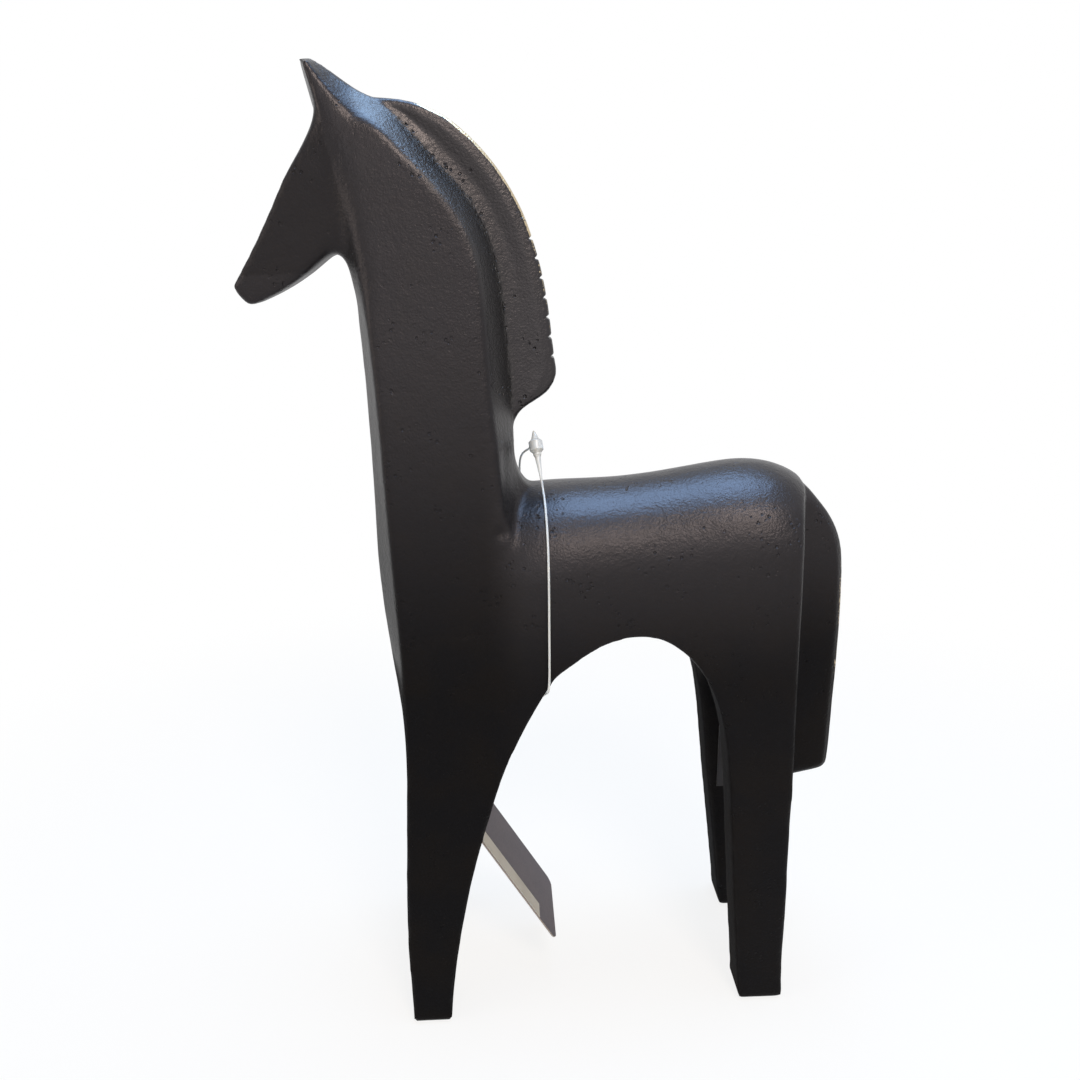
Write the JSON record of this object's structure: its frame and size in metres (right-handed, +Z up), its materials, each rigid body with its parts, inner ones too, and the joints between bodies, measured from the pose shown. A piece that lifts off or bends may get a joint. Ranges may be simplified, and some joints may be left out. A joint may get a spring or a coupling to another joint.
{
  "type": "ornamental horse figure",
  "caption": "Slender stylised horse figure on four legs, cast in two halves with a set-in head, mane crest and tail, felt-padded feet and a swinging hang tag on a loop pin.",
  "frame": {"origin": "on the floor under the middle of the horse, half way between the muzzle and the rear of the tail", "axes": "+Z up, the horse faces -X, its left side is towards -Y"},
  "size_m": [0.1887, 0.0726, 0.3],
  "materials": {
    "blackened_casting": "satin black coating over a sand casting",
    "steel_dowel": "bright ground",
    "felt": "dense pressed felt",
    "tag_card": "coated card, bare",
    "pale_sticker": "matt paper sticker, bare",
    "dark_sticker": "matt paper sticker, bare",
    "clear_nylon": "clear moulded nylon"
  },
  "bodies": {
    "horse": {"left_body_half": "blackened_casting", "right_body_half": "blackened_casting", "head": "blackened_casting", "mane_crest": "blackened_casting", "tail": "blackened_casting", "neck_dowel": "steel_dowel", "chest_dowel": "steel_dowel", "rump_dowel": "steel_dowel", "front_left_pad": "felt", "front_right_pad": "felt", "hind_left_pad": "felt", "hind_right_pad": "felt", "leg_label": "dark_sticker", "tag_filament": "clear_nylon", "lock_plug": "clear_nylon", "lock_socket": "clear_nylon"},
    "tag": {"hang_tag": "tag_card", "tag_sticker": "pale_sticker"}
  },
  "joints": [
    {"name": "tag_swing", "type": "hinge", "parent": "horse", "child": "tag", "pos_m": [-0.032, 0, 0.0634], "axis": [0, -1, 0], "range_deg": [-48, 30]}
  ]
}
